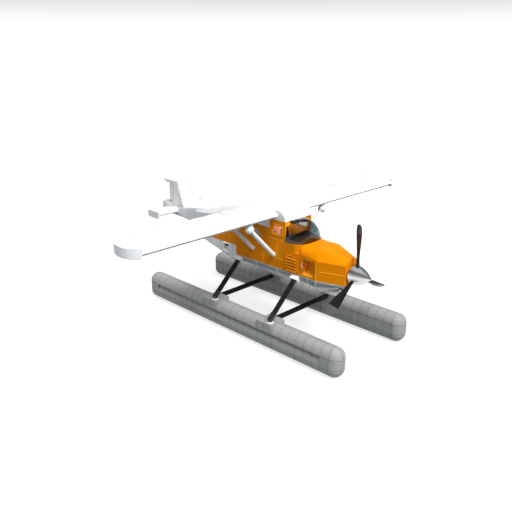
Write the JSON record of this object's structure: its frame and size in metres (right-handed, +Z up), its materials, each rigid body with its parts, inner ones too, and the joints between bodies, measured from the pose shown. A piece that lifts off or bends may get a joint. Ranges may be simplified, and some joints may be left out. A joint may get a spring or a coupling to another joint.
{
  "type": "high-wing floatplane",
  "caption": "High-wing floatplane with strut-braced wing, domed windscreen, boxy cabin, faceted nose with spinner and propeller, on long round-ended floats.",
  "frame": {"origin": "on the floor, below the middle of the whole aircraft's bounding box", "axes": "+X towards the nose, +Y to the aircraft's left, +Z up"},
  "size_m": [9.6, 11.43, 3.9003],
  "materials": {
    "white_paint": "gloss white paint",
    "orange_paint": "gloss orange paint",
    "smoked_glass": "smoked acrylic",
    "black_steel": "satin black paint",
    "black_leather": "matt",
    "black_plastic": "matt",
    "float_grey": "satin grey paint",
    "keel_grey": "satin blue-grey paint",
    "cast_metal": "cast",
    "chrome": "polished"
  },
  "bodies": {
    "airframe": {"wing_centre": "white_paint", "wing_right": "white_paint", "wing_left": "white_paint", "wing_strut_front_right": "white_paint", "wing_strut_front_left": "white_paint", "wing_strut_rear_right": "white_paint", "wing_strut_rear_left": "white_paint", "tail_cone": "white_paint", "rear_deck": "white_paint", "fin": "white_paint", "stabiliser": "white_paint", "cabin_side_right": "orange_paint", "cabin_side_left": "orange_paint", "cockpit_scuttle": "orange_paint", "engine_cowl": "orange_paint", "exhaust_scoop_right": "orange_paint", "exhaust_scoop_left": "orange_paint", "windscreen": "smoked_glass", "side_window_right": "smoked_glass", "side_window_left": "smoked_glass", "round_window_right": "smoked_glass", "round_window_left": "smoked_glass", "float_leg_front_right": "black_steel", "float_leg_front_left": "black_steel", "float_leg_rear_right": "black_steel", "float_leg_rear_left": "black_steel", "spreader_bar_front": "black_steel", "spreader_bar_rear": "black_steel", "seat_right": "black_leather", "seat_left": "black_leather", "bench_rear": "black_leather", "instrument_panel": "black_plastic", "overhead_unit": "black_plastic", "float_right": "float_grey", "float_left": "float_grey", "belly_keel": "keel_grey", "engine_block": "cast_metal", "cabin_floor": "cast_metal"},
    "propeller": {"spinner": "chrome", "propeller_blade_1": "black_steel", "propeller_blade_2": "black_steel", "propeller_blade_3": "black_steel"},
    "rudder": {"rudder": "white_paint"},
    "elevator": {"elevator": "white_paint"},
    "aileron_right": {"aileron_right": "white_paint"},
    "aileron_left": {"aileron_left": "white_paint"},
    "flap_right": {"flap_right": "white_paint"},
    "flap_left": {"flap_left": "white_paint"},
    "door_right": {"cabin_door_right": "orange_paint"},
    "door_left": {"cabin_door_left": "orange_paint"}
  },
  "joints": [
    {"name": "propeller_spin", "type": "hinge", "parent": "airframe", "child": "propeller", "pos_m": [3.885, 0, 2.4], "axis": [1, 0, 0], "continuous": true},
    {"name": "rudder_hinge", "type": "hinge", "parent": "airframe", "child": "rudder", "pos_m": [-4.17, 0, 3.075], "axis": [0, 0, 1], "range_deg": [-25, 25]},
    {"name": "elevator_hinge", "type": "hinge", "parent": "airframe", "child": "elevator", "pos_m": [-4.08, 0, 2.85], "axis": [0, 1, 0], "range_deg": [-20, 25]},
    {"name": "aileron_right_hinge", "type": "hinge", "parent": "airframe", "child": "aileron_right", "pos_m": [0.585, -3.27, 3.786], "axis": [0, 1, 0], "range_deg": [-20, 20]},
    {"name": "aileron_left_hinge", "type": "hinge", "parent": "airframe", "child": "aileron_left", "pos_m": [0.585, 3.27, 3.786], "axis": [0, 1, 0], "range_deg": [-20, 20]},
    {"name": "flap_right_hinge", "type": "hinge", "parent": "airframe", "child": "flap_right", "pos_m": [0.585, -1.89, 3.786], "axis": [0, 1, 0], "range_deg": [-35, 0]},
    {"name": "flap_left_hinge", "type": "hinge", "parent": "airframe", "child": "flap_left", "pos_m": [0.585, 1.89, 3.786], "axis": [0, 1, 0], "range_deg": [-35, 0]},
    {"name": "door_right_hinge", "type": "hinge", "parent": "airframe", "child": "door_right", "pos_m": [0.339, -0.63, 2.19], "axis": [0, 0, 1], "range_deg": [0, 85]},
    {"name": "door_left_hinge", "type": "hinge", "parent": "airframe", "child": "door_left", "pos_m": [0.339, 0.63, 2.19], "axis": [0, 0, 1], "range_deg": [-85, 0]}
  ],
  "couplings": [
    {"joint": "aileron_left_hinge", "follows": "aileron_right_hinge", "ratio": -1},
    {"joint": "flap_left_hinge", "follows": "flap_right_hinge", "ratio": 1}
  ]
}
